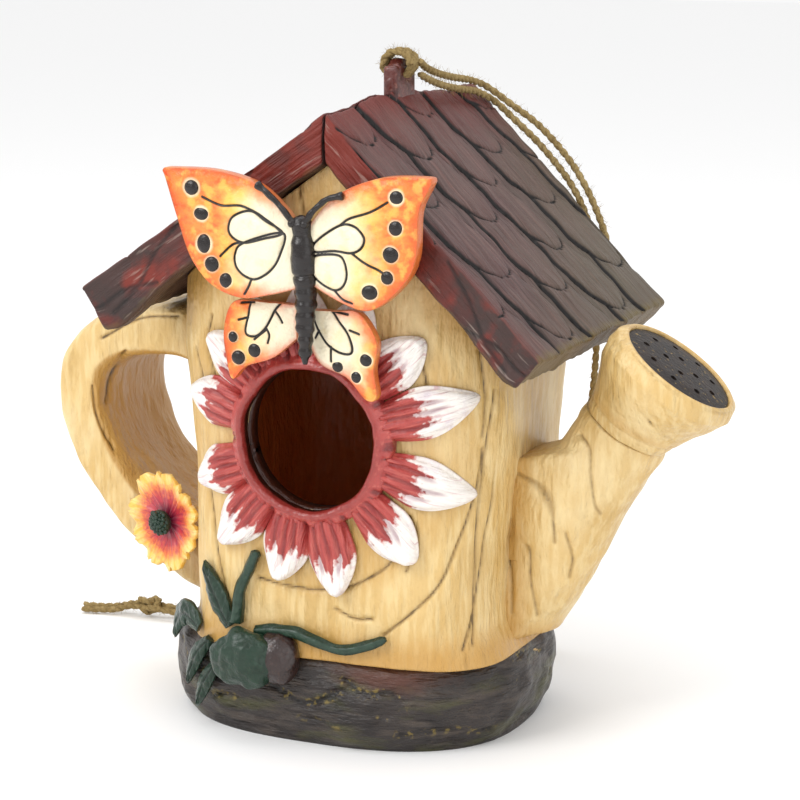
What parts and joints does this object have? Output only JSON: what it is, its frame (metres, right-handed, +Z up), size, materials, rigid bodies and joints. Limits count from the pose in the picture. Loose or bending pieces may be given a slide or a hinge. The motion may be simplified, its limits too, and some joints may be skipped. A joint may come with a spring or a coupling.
{
  "type": "birdhouse",
  "caption": "Cast-resin birdhouse shaped like a watering can on a rock, with shingled gable roof, flower entrance, butterfly, clean-out stopper and twine loop.",
  "frame": {"origin": "on the underside of the rock base, under the middle of the can front to back, at its roof ridge left to right within 4 mm", "axes": "+X from the handle to the spout, +Y to the back, away from the flower, +Z up"},
  "size_m": [0.2691, 0.1495, 0.221],
  "materials": {
    "painted_rock": "matt painted cast resin, charcoal brown with olive dry-brush",
    "cream_resin": "satin hand-painted cast resin, cream with ochre in the recesses",
    "dark_rose": "satin dark paint on cast resin",
    "shingle_resin": "matt painted cast resin, purple-brown shingles",
    "mahogany_resin": "matt painted cast resin, red-brown",
    "petal_red": "satin painted cast resin, brick red with white tips",
    "wing_orange": "semi-gloss painted cast resin, orange, yellow and cream",
    "butterfly_black": "gloss dark brown-black paint on cast resin",
    "bloom_orange": "satin painted cast resin, yellow to red",
    "bloom_eye": "satin dark green-black paint on cast resin",
    "leaf_green": "satin dark green paint on cast resin",
    "brown_stone": "satin dark brown paint on cast resin",
    "stopper_rubber": "matt moulded rubber",
    "jute_twine": "two-ply jute twine, natural"
  },
  "bodies": {
    "house": {"rock_base": "painted_rock", "can_body": "cream_resin", "roof_left_slab": "shingle_resin", "roof_right_slab": "shingle_resin", "ridge_lug": "mahogany_resin", "carrying_handle": "cream_resin", "spout_tube": "cream_resin", "spout_rose": "cream_resin", "rose_plate": "dark_rose", "entry_rim": "petal_red", "petal_01": "petal_red", "petal_02": "petal_red", "petal_03": "petal_red", "petal_04": "petal_red", "petal_05": "petal_red", "petal_06": "petal_red", "petal_07": "petal_red", "petal_08": "petal_red", "petal_09": "petal_red", "petal_10": "petal_red", "petal_11": "petal_red", "petal_12": "petal_red", "petal_13": "petal_red", "wing_upper_left": "wing_orange", "wing_upper_right": "wing_orange", "wing_lower_left": "wing_orange", "wing_lower_right": "wing_orange", "butterfly_body": "butterfly_black", "antenna_left": "butterfly_black", "antenna_right": "butterfly_black", "small_flower": "bloom_orange", "small_flower_eye": "bloom_eye", "leaf_upright": "leaf_green", "leaf_side": "leaf_green", "leaf_long": "leaf_green", "leaf_drooping": "leaf_green", "leaf_bud": "leaf_green", "brown_stone": "brown_stone", "flower_stem": "leaf_green", "vine": "leaf_green", "twine_hitch": "jute_twine", "twine_strand_outer": "jute_twine", "twine_strand_inner": "jute_twine", "twine_tail_outer": "jute_twine", "twine_tail_inner": "jute_twine", "twine_knot": "jute_twine"},
    "stopper": {"cleanout_stopper": "stopper_rubber"}
  },
  "joints": [
    {"name": "stopper_pull", "type": "slide", "parent": "house", "child": "stopper", "axis": [0, 1, 0], "range_m": [0, 0.022]}
  ]
}
